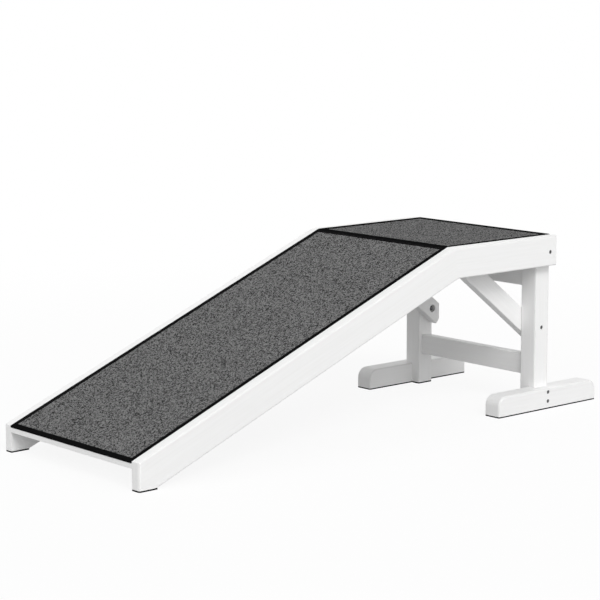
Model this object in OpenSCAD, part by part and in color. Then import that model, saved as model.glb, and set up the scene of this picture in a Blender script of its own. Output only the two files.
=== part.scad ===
// Pet ramp with a level top platform, on a fixed stand with T-shaped feet.
// Low end at -X, platform end at +X, floor at Z = 0, middle of the length and width at X = Y = 0.
// Left and right are those of an animal that walks up: left is +Y, right is -Y.

/* [Overall] */
// Width over the two side rails
overall_w = 400; // [300:1:600]
// Horizontal length of the side rails, from the low end to the platform's end
rail_len = 1007; // [800:1:1500]
// Horizontal length of the level platform
platform_len = 280; // [240:1:400]
// Height of the platform's surface above the floor
platform_h = 339; // [310:1:450]
// Height of the rails' low ends above the floor
front_h = 50; // [40:1:56]

/* [Side rails] */
// Thickness of a side rail
rail_t = 20; // [18:0.5:28]
// Depth of a side rail, square to its top edge
rail_d = 58; // [54:1:80]
// Radius of the eased long edges on rails and legs
edge_r = 3; // [1:0.5:4]
// Radius of the eased upright edges at the rails' two ends
end_r = 4.5; // [4.2:0.1:6]
// Radius of the eased edges on battens, braces and cross members
board_edge_r = 2; // [0.5:0.5:3]

/* [Deck and carpet] */
// Thickness of the deck boards
deck_t = 9; // [6:0.5:12]
// Thickness of the carpet, pile included
carpet_t = 3; // [2:0.5:5]
// Width of the black tape that binds the carpet's edges, seen from above
binding_w = 9; // [6:0.5:20]
// Gap between the carpet's edge and the rail, and between the two carpets at the knee
carpet_gap = 0.3; // [0.1:0.1:1]

/* [Battens under the deck] */
// Number of battens under the ramp's deck
batten_count = 4; // [2:1:6]
// Width of a batten, along the slope
batten_w = 38; // [30:1:50]
// Thickness of a batten
batten_t = 20; // [18:1:26]
// Distance along the slope from the low end to the first batten's middle
batten_front = 45; // [40:1:90]
// Width of the knee crossbar, along X
crossbar_w = 38; // [34:1:60]
// Depth of the knee crossbar below the platform's deck
crossbar_d = 38; // [32:1:42]

/* [Legs and feet] */
// Side of the square leg section
leg_s = 38; // [34:1:50]
// Thickness of the leg's tongue, which laps the foot beam's inner face
tongue_t = 20; // [16:0.5:24]
// Length of a foot beam
foot_len = 275; // [200:1:400]
// Height of a foot beam
foot_h = 38.5; // [32:0.5:50]
// Radius of the foot beam's top corners, seen from the side
foot_r = 20; // [10:0.5:24]
// Radius of the foot beam's eased edges
foot_edge_r = 4; // [1:0.5:6]
// Thickness of the black pads under everything that stands on the floor
pad_t = 2.5; // [1:0.5:5]

/* [Braces] */
// Width of a brace, square to its length
brace_w = 38; // [34:1:44]
// Thickness of a brace
brace_t = 20; // [18:0.5:24]
// Height of the bolt that holds a brace to its leg
brace_bolt_z = 158; // [145:1:170]
// Length of a brace past its bolt, to its square end
brace_tail = 29; // [24:1:36]
// Depth below the deck at which a brace's lower edge meets the knee crossbar
brace_seat = 8; // [4:1:16]

/* [Cross members of the stand] */
// Thickness of the stretcher and the apron
cross_t = 20; // [18:0.5:28]
// Height of the stretcher's lower edge above the floor
stretcher_z = 62; // [55:1:75]
// Width of the stretcher, on edge
stretcher_h = 40; // [34:1:50]
// Width of the apron, on edge below the platform's deck
apron_h = 90; // [60:1:100]

/* [Bolts] */
// Diameter of the bolts
bolt_d = 5; // [4:0.5:5.5]
// Diameter of the bolts' heads
bolt_head_d = 7.6; // [7:0.1:10]
// Height of the bolts' heads
bolt_head_h = 5; // [3:0.5:6]
// Size of the hexagon socket in a bolt's head, across its flats
socket_af = 4; // [2:0.5:5]
// Depth of the hexagon socket in a bolt's head
socket_depth = 2.5; // [1:0.5:2.5]
// Depth of a bolt head's top below the surface of the wood
bolt_sink = 1.5; // [0.5:0.1:3]
// Depth of the rail bolts below the platform's surface
rail_bolt_drop = 31; // [28:1:34]
// Diameter of the threaded inserts in the legs
insert_d = 9; // [8:0.5:12]
// Length of the threaded inserts
insert_len = 14; // [10:1:16]
// Length of a rail bolt inside the leg
rail_bolt_bite = 11.5; // [8:0.5:14]
// Length of a brace bolt past its nut
bolt_proud = 1.5; // [0.5:0.5:2]
// Diameter of the counterbore in a brace's inner face
nut_bore_d = 15; // [13:0.5:18]
// Depth of the counterbore in a brace's inner face
nut_bore_depth = 8; // [7.5:0.5:10]
// Size of a brace bolt's nut across its flats
nut_af = 8; // [7:0.5:10]
// Thickness of a nut
nut_t = 4; // [3:0.5:5]
// Diameter of a washer
washer_d = 12; // [11:0.5:14]
// Thickness of a washer
washer_t = 1; // [0.5:0.1:1.5]

/* [Screws and dowels] */
// Diameter of the foot screws
foot_screw_d = 4; // [3:0.5:5]
// Diameter of the foot screws' countersunk heads
foot_head_d = 7.6; // [7:0.1:9]
// Length of a foot screw inside the leg's tongue
foot_screw_bite = 13; // [8:1:14]
// Depth of a foot screw's head below the surface of the wood
foot_screw_sink = 1; // [0.5:0.1:2]
// Height of the lower foot screw above the foot beam's underside
foot_screw_low = 12.5; // [9:0.5:13]
// Depth of the upper foot screw below the foot beam's top
foot_screw_high = 8; // [7:0.5:10]
// Diameter of the deck screws
deck_screw_d = 3.5; // [3:0.5:4]
// Diameter of the deck screws' countersunk heads
deck_head_d = 7; // [6:0.5:8]
// Length of a deck screw below the deck
deck_screw_bite = 15; // [10:1:16]
// Distance from the outer screws of a row to the end of the piece that holds them
deck_screw_edge = 30; // [28:1:45]
// Diameter of the dowels
dowel_d = 8; // [6:0.5:9]
// Length of a dowel inside a rail
dowel_in_rail = 12; // [8:1:14]
// Length of a dowel inside a leg
dowel_in_leg = 16; // [10:1:16]
// Length of a dowel inside the member that it holds
dowel_in_end = 20; // [15:1:25]

/* [Fits] */
// Radial clearance of bolts, screws, inserts and dowels in their holes
hole_gap = 0.1; // [0.05:0.05:0.2]
// Space left past the blind end of a dowel, bolt or screw
end_gap = 1; // [0.5:0.5:2]

/* [Hidden] */
$fn = 48;
LEFT = 1;
RIGHT = -1;
PAINT = "white";
CARPET = "dimgray";
TAPE = "black";
PAD = "black";
STEEL = "lightslategray";
BEECH = "burlywood";
// Margin by which a cutter passes the surface that it cuts
cut = 1;
// Sides of a hexagon
hex_sides = 6;

// Slope of the ramp, and the lean of the line that halves the bend at the knee
knee_x = rail_len - platform_len;
slope = atan((platform_h - front_h) / knee_x);
half_bend = slope / 2;
// Length of the slope along its surface
slope_len = knee_x / cos(slope);

// Faces across the width, as distances from the middle
rail_out_y = overall_w / 2;
rail_in_y = rail_out_y - rail_t;
leg_out_y = rail_in_y;
leg_in_y = leg_out_y - leg_s;
foot_in_y = leg_in_y + tongue_t;
foot_w = rail_out_y - foot_in_y;
brace_in_y = leg_in_y - brace_t;
brace_mid_y = leg_in_y - brace_t / 2;

// Places along the length
leg_mid_x = rail_len - leg_s / 2;
overall_len = max(rail_len, leg_mid_x + foot_len / 2);

// Heights
foot_top_z = pad_t + foot_h;
surface_t = deck_t + carpet_t;
deck_under_z = platform_h - surface_t;
apron_z = deck_under_z - apron_h;
rail_bolt_z = platform_h - rail_bolt_drop;

// Length of a rail's level cut, where it stands on its pad
contact_len = (pad_t - front_h + rail_d / cos(slope)) / tan(slope);

// Knee crossbar, centred below the joint of the two decks
under_knee_x = knee_x + surface_t * tan(half_bend);
crossbar_front_x = under_knee_x - crossbar_w / 2;
crossbar_rear_x = under_knee_x + crossbar_w / 2;
crossbar_front_z = deck_under_z - crossbar_w / 2 * tan(slope);
crossbar_bottom_z = deck_under_z - crossbar_d;
crossbar_mid_z = deck_under_z - crossbar_d / 2;

// Places of the battens' middles along the slope, even between the first one and the crossbar
batten_last = slope_len - crossbar_w / 2;
batten_pitch = (batten_last - batten_front) / batten_count;
batten_places = [for (i = [0:batten_count - 1]) batten_front + i * batten_pitch];
batten_mid_depth = surface_t + batten_t / 2;

// A brace's axis runs from its bolt so that its lower edge meets the crossbar at brace_seat
brace_run = leg_mid_x - crossbar_rear_x;
brace_rise = deck_under_z - brace_seat - brace_bolt_z;
brace_span = sqrt(brace_run * brace_run + brace_rise * brace_rise);
brace_angle = atan(brace_rise / brace_run) + asin(brace_w / 2 / brace_span);
// Place of the upper edge of a brace's level top cut
brace_top_x = leg_mid_x - (deck_under_z - brace_bolt_z) / tan(brace_angle) + brace_w / 2 / sin(brace_angle);

// Screws across the width of a piece that is as long as the deck is wide, or as the apron
deck_rows = [-rail_in_y + deck_screw_edge, 0, rail_in_y - deck_screw_edge];
apron_rows = [-leg_in_y + deck_screw_edge, 0, leg_in_y - deck_screw_edge];
// Places of screws over the knee crossbar, along each deck from the joint
crossbar_screw_x = crossbar_w / 4;
deck_screw_len = deck_t + deck_screw_bite;
foot_screw_len = foot_w - foot_screw_sink + foot_screw_bite;
foot_screw_heights = [pad_t + foot_screw_low, foot_top_z - foot_screw_high];

// Dowels stand a quarter of their member's width off its middle
dowel_sides = [-1 / 4, 1 / 4];

// Holes and bolts
head_hole_depth = bolt_head_h + bolt_sink;
rail_bolt_len = rail_t - head_hole_depth + rail_bolt_bite;
nut_seat_y = brace_in_y + nut_bore_depth;
brace_bolt_len = leg_out_y - head_hole_depth - nut_seat_y + washer_t + nut_t + bolt_proud;

BATTENS = [for (i = [1:batten_count]) str("ramp_batten_", i)];

// Places

// Moves the low end's frame, which all sizes are taken from, to the middle of the length
module centred() {
    translate([-overall_len / 2, 0, 0]) children();
}

// Mirrors a piece of the left side to the right
module on_side(side) {
    if (side == LEFT) children();
    else mirror([0, 1, 0]) children();
}

// Frame of the slope: X runs up along its surface, Z stands square to it
module on_slope() {
    translate([0, 0, front_h]) rotate([0, -slope, 0]) children();
}

// Frame of the platform: X runs level from the knee
module on_platform() {
    translate([knee_x, 0, platform_h]) children();
}

// Turns Z to point outwards along +Y, at the place of a bore in a side
module outwards(x, y, z) {
    translate([x, y, z]) rotate([-90, 0, 0]) children();
}

// Shapes

// Rectangle whose two corners at the far end of X are eased
module nosed(depth, width, r) {
    square([depth - r, width]);
    translate([0, r]) square([depth, width - 2 * r]);
    for (y = [r, width - r]) translate([depth - r, y]) circle(r);
}

// Rectangle with all four corners eased
module eased(x, y, r) {
    translate([r, 0]) square([x - 2 * r, y]);
    translate([0, r]) square([x, y - 2 * r]);
    for (px = [r, x - r], py = [r, y - r]) translate([px, py]) circle(r);
}

// Board along X from X = 0, with eased long edges, its section from Y = Z = 0
module eased_board(len, y, z, r) {
    rotate([90, 0, 90]) linear_extrude(height = len) eased(y, z, r);
}

// Sheet of the ramp's or platform's surface, between two depths below it.
// The ends lean by the given angles, so that sheets meet at the knee and end flush.
module sheet(front, rear, top, bottom, front_lean, rear_lean, half_w) {
    rotate([90, 0, 0]) linear_extrude(height = 2 * half_w, center = true) polygon([
        [front + top * tan(front_lean), -top],
        [rear + top * tan(rear_lean), -top],
        [rear + bottom * tan(rear_lean), -bottom],
        [front + bottom * tan(front_lean), -bottom]
    ]);
}

// Countersunk screw that points down from the top of its head at Z = 0
module countersunk(d, head_d, len, grow = 0) {
    head_h = (head_d - d) / 2;
    translate([0, 0, -head_h]) cylinder(h = head_h, d1 = d + 2 * grow, d2 = head_d + 2 * grow);
    translate([0, 0, -len]) cylinder(h = len - head_h, d = d + 2 * grow);
}

// Cutter for a countersunk screw's hole, open above the head
module countersunk_hole(d, head_d, len) {
    countersunk(d, head_d, len + end_gap, hole_gap);
    cylinder(h = cut, d = head_d + 2 * hole_gap);
}

// Socket-head bolt that points down from the top of its head at Z = 0
module socket_bolt(len) {
    difference() {
        translate([0, 0, -bolt_head_h]) cylinder(h = bolt_head_h, d = bolt_head_d);
        translate([0, 0, -socket_depth])
            cylinder(h = socket_depth + cut, d = socket_af / cos(180 / hex_sides), $fn = hex_sides);
    }
    translate([0, 0, -bolt_head_h - len]) cylinder(h = len, d = bolt_d);
}

// Cutter for a sunk bolt: the head's recess, and the shank's hole of a given length below it
module bolt_hole(len) {
    translate([0, 0, -head_hole_depth]) cylinder(h = head_hole_depth + cut, d = bolt_head_d + 2 * hole_gap);
    translate([0, 0, -head_hole_depth - len]) cylinder(h = len + cut, d = bolt_d + 2 * hole_gap);
}

// Dowel along Y, across a joint face at a given Y, longer on each side by the grow length
module dowel(x, face_y, z, outer_len, inner_len, d, grow = 0) {
    outwards(x, face_y - inner_len - grow, z) cylinder(h = outer_len + inner_len + 2 * grow, d = d);
}

// Places of the deck's screws

// Children stand at each screw of the ramp's deck, at the deck's top
module at_ramp_screws() {
    on_slope() for (x = concat(batten_places, [slope_len - crossbar_screw_x]), y = deck_rows)
        translate([x, y, -carpet_t]) children();
}

// Children stand at each screw of the platform's deck, at the deck's top
module at_platform_screws() {
    for (y = deck_rows) translate([under_knee_x + crossbar_screw_x, y, deck_under_z + deck_t]) children();
    for (y = apron_rows) translate([leg_mid_x, y, deck_under_z + deck_t]) children();
    for (side = [LEFT, RIGHT])
        translate([(crossbar_rear_x + brace_top_x) / 2, side * brace_mid_y, deck_under_z + deck_t]) children();
}

module deck_screw_hole() {
    countersunk_hole(deck_screw_d, deck_head_d, deck_screw_len);
}

// Dowels of the left side, at their own size or as cutters

module batten_dowel_pair(place, d, grow = 0) {
    on_slope() for (k = dowel_sides)
        dowel(place + k * batten_w, rail_in_y, -batten_mid_depth, dowel_in_rail, dowel_in_end, d, grow);
}

module crossbar_dowel_pair(d, grow = 0) {
    for (k = dowel_sides)
        dowel(under_knee_x + k * crossbar_w, rail_in_y, crossbar_mid_z, dowel_in_rail, dowel_in_end, d, grow);
}

module stand_dowel_pair(low_z, height, d, grow = 0) {
    for (k = dowel_sides)
        dowel(leg_mid_x, leg_in_y, low_z + height / 2 + k * height, dowel_in_leg, dowel_in_end, d, grow);
}

module dowel_holes(kind, place = 0) {
    d = dowel_d + 2 * hole_gap;
    if (kind == "batten") batten_dowel_pair(place, d, end_gap);
    if (kind == "crossbar") crossbar_dowel_pair(d, end_gap);
    if (kind == "stretcher") stand_dowel_pair(stretcher_z, stretcher_h, d, end_gap);
    if (kind == "apron") stand_dowel_pair(apron_z, apron_h, d, end_gap);
}

// Rails

// Bar along X with a given top and bottom, eased along its two outer edges
module rail_bar(reach, top, bottom) {
    translate([-reach, 0, 0]) rotate([90, 0, 90]) linear_extrude(height = 2 * reach)
        translate([rail_in_y, bottom]) nosed(rail_t, top - bottom, edge_r);
}

// Rail of the left side, bent at the knee. It lies below the tops of both its stretches and
// above the underside of either, so their eased edges meet on the mitre. Its ends are upright.
module rail_blank() {
    reach = rail_len + platform_h;
    intersection() {
        on_slope() rail_bar(reach, 0, -reach);
        on_platform() rail_bar(reach, 0, -reach);
        union() {
            on_slope() rail_bar(reach, reach, -rail_d);
            on_platform() rail_bar(reach, reach, -rail_d);
        }
        translate([rail_len, rail_in_y - cut, pad_t]) rotate(90) linear_extrude(height = platform_h)
            nosed(rail_t + cut, rail_len, end_r);
    }
}

module side_rail(side) {
    color(PAINT) on_side(side) difference() {
        rail_blank();
        outwards(leg_mid_x, rail_out_y, rail_bolt_z) bolt_hole(rail_t);
        for (place = batten_places) dowel_holes("batten", place);
        dowel_holes("crossbar");
    }
}

// Decks and carpets

module ramp_deck() {
    color(PAINT) difference() {
        on_slope() sheet(0, slope_len, carpet_t, surface_t, -slope, -half_bend, rail_in_y);
        at_ramp_screws() deck_screw_hole();
    }
}

module platform_deck() {
    color(PAINT) difference() {
        on_platform() sheet(0, platform_len, carpet_t, surface_t, half_bend, 0, rail_in_y);
        at_platform_screws() deck_screw_hole();
    }
}

// Carpet inside its binding: a plain slab, with its low front corner at X = binding_w
module carpet_core(len) {
    half_w = rail_in_y - carpet_gap - binding_w;
    translate([binding_w, -half_w, -carpet_t]) cube([len, 2 * half_w, carpet_t]);
}

module carpet_window(len) {
    half_w = rail_in_y - carpet_gap - binding_w;
    translate([binding_w, -half_w, -carpet_t - cut]) cube([len, 2 * half_w, carpet_t + 2 * cut]);
}

ramp_carpet_len = slope_len - carpet_gap / 2 - 2 * binding_w;
platform_carpet_len = platform_len - carpet_gap / 2 - 2 * binding_w;

module ramp_carpet() {
    color(CARPET) on_slope() carpet_core(ramp_carpet_len);
}

module ramp_carpet_binding() {
    color(TAPE) on_slope() difference() {
        sheet(0, slope_len - carpet_gap / 2, 0, carpet_t, -slope, -half_bend, rail_in_y - carpet_gap);
        carpet_window(ramp_carpet_len);
    }
}

module platform_carpet() {
    color(CARPET) on_platform() translate([carpet_gap / 2, 0, 0]) carpet_core(platform_carpet_len);
}

module platform_carpet_binding() {
    color(TAPE) on_platform() difference() {
        sheet(carpet_gap / 2, platform_len, 0, carpet_t, half_bend, 0, rail_in_y - carpet_gap);
        translate([carpet_gap / 2, 0, 0]) carpet_window(platform_carpet_len);
    }
}

// Battens and the knee crossbar

module ramp_batten(place) {
    color(PAINT) difference() {
        on_slope() translate([place - batten_w / 2, rail_in_y, -surface_t]) rotate([90, 90, 0])
            linear_extrude(height = 2 * rail_in_y) nosed(batten_t, batten_w, board_edge_r);
        at_ramp_screws() deck_screw_hole();
        for (side = [LEFT, RIGHT]) on_side(side) dowel_holes("batten", place);
    }
}

module knee_crossbar() {
    color(PAINT) difference() {
        rotate([90, 0, 0]) linear_extrude(height = 2 * rail_in_y, center = true) polygon([
            [crossbar_front_x, crossbar_bottom_z],
            [crossbar_rear_x, crossbar_bottom_z],
            [crossbar_rear_x, deck_under_z],
            [under_knee_x, deck_under_z],
            [crossbar_front_x, crossbar_front_z]
        ]);
        at_ramp_screws() deck_screw_hole();
        at_platform_screws() deck_screw_hole();
        for (side = [LEFT, RIGHT]) on_side(side) dowel_holes("crossbar");
    }
}

// Stand

module leg(side) {
    color(PAINT) on_side(side) difference() {
        translate([leg_mid_x - leg_s / 2, leg_in_y, pad_t])
            linear_extrude(height = deck_under_z - pad_t) eased(leg_s, leg_s, edge_r);
        // Notch that leaves the tongue beside the foot beam
        translate([leg_mid_x - leg_s / 2 - cut, foot_in_y, pad_t - cut])
            cube([leg_s + 2 * cut, leg_s, foot_h + cut]);
        outwards(leg_mid_x, leg_out_y, brace_bolt_z) bolt_hole(leg_s);
        outwards(leg_mid_x, leg_out_y - insert_len, rail_bolt_z)
            cylinder(h = insert_len + cut, d = insert_d + 2 * hole_gap);
        outwards(leg_mid_x, leg_out_y - rail_bolt_bite - end_gap, rail_bolt_z)
            cylinder(h = rail_bolt_bite, d = bolt_d + 2 * hole_gap);
        foot_screw_holes();
        dowel_holes("stretcher");
        dowel_holes("apron");
    }
}

module foot_screw_holes() {
    for (z = foot_screw_heights) outwards(leg_mid_x, rail_out_y - foot_screw_sink, z)
        countersunk_hole(foot_screw_d, foot_head_d, foot_screw_len);
}

// Half of a foot beam from its middle to its end, along X, its outer side towards +Y
module foot_half() {
    straight = foot_len / 2 - foot_r;
    // Level stretch, eased along its two top edges
    rotate([90, 0, 90]) linear_extrude(height = straight)
        translate([foot_w, 0]) rotate(90) nosed(foot_h, foot_w, foot_edge_r);
    // Upright end below the round corner
    translate([straight, 0, 0]) linear_extrude(height = foot_h - foot_r) nosed(foot_r, foot_w, foot_edge_r);
    // Round top corner
    translate([straight, foot_w, foot_h - foot_r]) rotate([90, 0, 0])
        rotate_extrude(angle = 90) nosed(foot_r, foot_w, foot_edge_r);
}

module foot_beam(side) {
    color(PAINT) on_side(side) difference() {
        translate([leg_mid_x, foot_in_y, pad_t]) {
            foot_half();
            mirror([1, 0, 0]) foot_half();
        }
        foot_screw_holes();
    }
}

// Brace of the left side, cut to the leg's rear face, the crossbar and the deck's underside
module brace(side) {
    color(PAINT) on_side(side) difference() {
        intersection() {
            translate([leg_mid_x, leg_in_y, brace_bolt_z]) rotate([0, 180 + brace_angle, 0])
                translate([-brace_tail, -brace_t, -brace_w / 2])
                eased_board(brace_tail + brace_span + brace_w, brace_t, brace_w, board_edge_r);
            translate([crossbar_rear_x, 0, 0]) cube([rail_len - crossbar_rear_x, overall_w, deck_under_z]);
        }
        outwards(leg_mid_x, brace_in_y - cut, brace_bolt_z)
            cylinder(h = brace_t + 2 * cut, d = bolt_d + 2 * hole_gap);
        outwards(leg_mid_x, brace_in_y - cut, brace_bolt_z)
            cylinder(h = nut_bore_depth + cut, d = nut_bore_d);
        at_platform_screws() deck_screw_hole();
    }
}

// Board on edge between the legs, centred on them
module cross_member(low_z, height) {
    translate([leg_mid_x + cross_t / 2, -leg_in_y, low_z]) rotate([0, 0, 90])
        eased_board(2 * leg_in_y, cross_t, height, board_edge_r);
}

module stretcher() {
    color(PAINT) difference() {
        cross_member(stretcher_z, stretcher_h);
        for (side = [LEFT, RIGHT]) on_side(side) dowel_holes("stretcher");
    }
}

module apron() {
    color(PAINT) difference() {
        cross_member(apron_z, apron_h);
        at_platform_screws() deck_screw_hole();
        for (side = [LEFT, RIGHT]) on_side(side) dowel_holes("apron");
    }
}

// Pads

module rail_pad(side) {
    color(PAD) on_side(side) linear_extrude(height = pad_t) intersection() {
        translate([0, rail_in_y]) square([contact_len, rail_t]);
        translate([2 * contact_len, rail_in_y - cut]) rotate(90) nosed(rail_t + cut, 2 * contact_len, end_r);
    }
}

module foot_pad(side) {
    color(PAD) on_side(side) translate([leg_mid_x - foot_len / 2, foot_in_y, 0])
        linear_extrude(height = pad_t) eased(foot_len, foot_w, foot_edge_r);
}

module leg_pad(side) {
    color(PAD) on_side(side) linear_extrude(height = pad_t) intersection() {
        translate([leg_mid_x - leg_s / 2, leg_in_y]) eased(leg_s, leg_s, edge_r);
        translate([leg_mid_x - leg_s / 2, leg_in_y]) square([leg_s, tongue_t]);
    }
}

// Fasteners

module rail_bolts() {
    color(STEEL) for (side = [LEFT, RIGHT]) on_side(side)
        outwards(leg_mid_x, rail_out_y - bolt_sink, rail_bolt_z) socket_bolt(rail_bolt_len);
}

module rail_bolt_inserts() {
    color(STEEL) for (side = [LEFT, RIGHT]) on_side(side)
        outwards(leg_mid_x, leg_out_y - insert_len, rail_bolt_z) difference() {
            cylinder(h = insert_len, d = insert_d);
            translate([0, 0, -cut]) cylinder(h = insert_len + 2 * cut, d = bolt_d + 2 * hole_gap);
        }
}

module brace_bolts() {
    color(STEEL) for (side = [LEFT, RIGHT]) on_side(side)
        outwards(leg_mid_x, leg_out_y - bolt_sink, brace_bolt_z) socket_bolt(brace_bolt_len);
}

module brace_washers() {
    color(STEEL) for (side = [LEFT, RIGHT]) on_side(side)
        outwards(leg_mid_x, nut_seat_y - washer_t, brace_bolt_z) difference() {
            cylinder(h = washer_t, d = washer_d);
            translate([0, 0, -cut]) cylinder(h = washer_t + 2 * cut, d = bolt_d + 2 * hole_gap);
        }
}

module brace_nuts() {
    color(STEEL) for (side = [LEFT, RIGHT]) on_side(side)
        outwards(leg_mid_x, nut_seat_y - washer_t - nut_t, brace_bolt_z) difference() {
            cylinder(h = nut_t, d = nut_af / cos(180 / hex_sides), $fn = hex_sides);
            translate([0, 0, -cut]) cylinder(h = nut_t + 2 * cut, d = bolt_d + 2 * hole_gap);
        }
}

module foot_screws() {
    color(STEEL) for (side = [LEFT, RIGHT]) on_side(side) for (z = foot_screw_heights)
        outwards(leg_mid_x, rail_out_y - foot_screw_sink, z)
            countersunk(foot_screw_d, foot_head_d, foot_screw_len);
}

module ramp_deck_screws() {
    color(STEEL) at_ramp_screws() countersunk(deck_screw_d, deck_head_d, deck_screw_len);
}

module platform_deck_screws() {
    color(STEEL) at_platform_screws() countersunk(deck_screw_d, deck_head_d, deck_screw_len);
}

// Dowels

module batten_dowels() {
    color(BEECH) for (side = [LEFT, RIGHT], place = batten_places)
        on_side(side) batten_dowel_pair(place, dowel_d);
}

module crossbar_dowels() {
    color(BEECH) for (side = [LEFT, RIGHT]) on_side(side) crossbar_dowel_pair(dowel_d);
}

module stretcher_dowels() {
    color(BEECH) for (side = [LEFT, RIGHT])
        on_side(side) stand_dowel_pair(stretcher_z, stretcher_h, dowel_d);
}

module apron_dowels() {
    color(BEECH) for (side = [LEFT, RIGHT]) on_side(side) stand_dowel_pair(apron_z, apron_h, dowel_d);
}

centred() side_rail(LEFT);  // left_rail
centred() side_rail(RIGHT);  // right_rail
centred() ramp_deck();
centred() platform_deck();
centred() ramp_carpet();
centred() ramp_carpet_binding();
centred() platform_carpet();
centred() platform_carpet_binding();
for (i = [0:batten_count - 1])
    centred() ramp_batten(batten_places[i]);
centred() knee_crossbar();
centred() leg(LEFT);  // left_leg
centred() leg(RIGHT);  // right_leg
centred() foot_beam(LEFT);  // left_foot_beam
centred() foot_beam(RIGHT);  // right_foot_beam
centred() brace(LEFT);  // left_brace
centred() brace(RIGHT);  // right_brace
centred() stretcher();
centred() apron();
centred() rail_pad(LEFT);  // left_rail_pad
centred() rail_pad(RIGHT);  // right_rail_pad
centred() foot_pad(LEFT);  // left_foot_pad
centred() foot_pad(RIGHT);  // right_foot_pad
centred() leg_pad(LEFT);  // left_leg_pad
centred() leg_pad(RIGHT);  // right_leg_pad
centred() rail_bolts();
centred() rail_bolt_inserts();
centred() brace_bolts();
centred() brace_washers();
centred() brace_nuts();
centred() foot_screws();
centred() ramp_deck_screws();
centred() platform_deck_screws();
centred() batten_dowels();
centred() crossbar_dowels();
centred() stretcher_dowels();
centred() apron_dowels();
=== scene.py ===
# %% [markdown]
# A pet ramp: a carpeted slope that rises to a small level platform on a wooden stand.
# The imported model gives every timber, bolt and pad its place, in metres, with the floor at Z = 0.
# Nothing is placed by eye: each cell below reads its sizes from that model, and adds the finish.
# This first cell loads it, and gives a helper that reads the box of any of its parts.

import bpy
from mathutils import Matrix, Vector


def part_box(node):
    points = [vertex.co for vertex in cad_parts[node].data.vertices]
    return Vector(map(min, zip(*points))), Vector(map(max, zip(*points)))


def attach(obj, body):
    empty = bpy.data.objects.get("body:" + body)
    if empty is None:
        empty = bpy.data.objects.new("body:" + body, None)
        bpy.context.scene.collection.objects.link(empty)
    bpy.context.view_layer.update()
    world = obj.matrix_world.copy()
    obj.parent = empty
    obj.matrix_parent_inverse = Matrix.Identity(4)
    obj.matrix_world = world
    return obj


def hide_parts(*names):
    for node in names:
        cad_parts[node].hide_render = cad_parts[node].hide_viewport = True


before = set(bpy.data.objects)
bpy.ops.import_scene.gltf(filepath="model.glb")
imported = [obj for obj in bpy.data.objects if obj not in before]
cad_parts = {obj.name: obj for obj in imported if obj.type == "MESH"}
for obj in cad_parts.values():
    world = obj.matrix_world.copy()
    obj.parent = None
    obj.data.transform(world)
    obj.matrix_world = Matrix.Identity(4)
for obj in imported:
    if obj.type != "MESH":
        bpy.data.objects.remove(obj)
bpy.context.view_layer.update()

# %% The libraries and the one body that everything rides on
import math

import bmesh
import bpy
import numpy as np
from mathutils import Matrix, Vector

MM = 0.001
BODY = "root"
scene = bpy.context.scene

# %% [markdown]
# The photograph fixes where the camera stands. Its place, turn and lens were found by fitting the
# straight edges of the rails, legs and feet, so the numbers below are real ones: metres and degrees.
# A long lens from almost four metres away explains why the far rail looks nearly as long as the near.
# The camera's own axes are built from the azimuth, the elevation and a very small roll.

# %% Camera
CAMERA_AT = Vector((-2.5332, -2.8805, 0.8592))
AZIMUTH = math.radians(-41.0012)
ELEVATION = math.radians(9.1004)
ROLL = math.radians(-0.1149)
SENSOR_MM = 36.0
LENS_MM = 124.725
FRAMING_SHIFT = (-0.00735, -0.00752)


def camera_axes(azimuth, elevation, roll):
    """The camera's right, up and backward directions, as the columns of a rotation."""
    level = math.cos(elevation)
    back = Vector((math.sin(azimuth) * level, -math.cos(azimuth) * level, math.sin(elevation)))
    right = Vector((math.cos(azimuth), math.sin(azimuth), 0))
    up = back.cross(right)
    rolled_right = right * math.cos(roll) + up * math.sin(roll)
    rolled_up = up * math.cos(roll) - right * math.sin(roll)
    return Matrix((rolled_right, rolled_up, back)).transposed()


camera = bpy.data.objects.new("Camera", bpy.data.cameras.new("Camera"))
scene.collection.objects.link(camera)
camera.matrix_world = Matrix.Translation(CAMERA_AT) @ camera_axes(AZIMUTH, ELEVATION, ROLL).to_4x4()
camera.data.sensor_width = SENSOR_MM
camera.data.lens = LENS_MM
camera.data.shift_x, camera.data.shift_y = FRAMING_SHIFT
scene.camera = camera
scene.view_settings.view_transform = "Standard"
print("camera:", [round(x, 3) for x in camera.matrix_world.translation])

# %% [markdown]
# Every material and every modelling tree below is written as nodes. Two small helpers keep that
# readable: one adds a node and links the nodes and sockets that are handed to it, the other names a
# material after its finish and connects what a recipe returns. A recipe is a plain function of "add".

# %% Helpers for node trees
def adder(tree):
    """A helper that adds a node to this tree, with its settings, values and links. A node that is
    handed in as a value stands for its first output."""
    def add(kind, inputs=None, **settings):
        node = tree.nodes.new(kind)
        for name, value in settings.items():
            setattr(node, name, value)
        for key, value in (inputs or {}).items():
            if isinstance(value, bpy.types.Node):
                value = value.outputs[0]
            if isinstance(value, bpy.types.NodeSocket):
                tree.links.new(value, node.inputs[key])
            else:
                node.inputs[key].default_value = value
        return node

    return add


def emptied(owner):
    """The adder of a material's or world's own tree, with its default nodes taken out."""
    owner.use_nodes = True
    owner.node_tree.nodes.clear()
    return adder(owner.node_tree)


def finish_of(name, recipe):
    """A material whose surface is what recipe(add) returns."""
    material = bpy.data.materials.new(name)
    add = emptied(material)
    add("ShaderNodeOutputMaterial", {"Surface": recipe(add)})
    return material


def grey(value):
    """A neutral colour."""
    return (value, value, value, 1)


# %% [markdown]
# The photograph is a studio picture on white, with soft light from the side and a little from above.
# The floor and the world are white only where they are seen, straight or in a reflection: Light Path
# swaps the shader there, so that the white puts no extra soft light on the ramp. The floor keeps part
# of its own lit colour near the ramp, which leaves a faint shadow, and is plain white further out.

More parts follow.
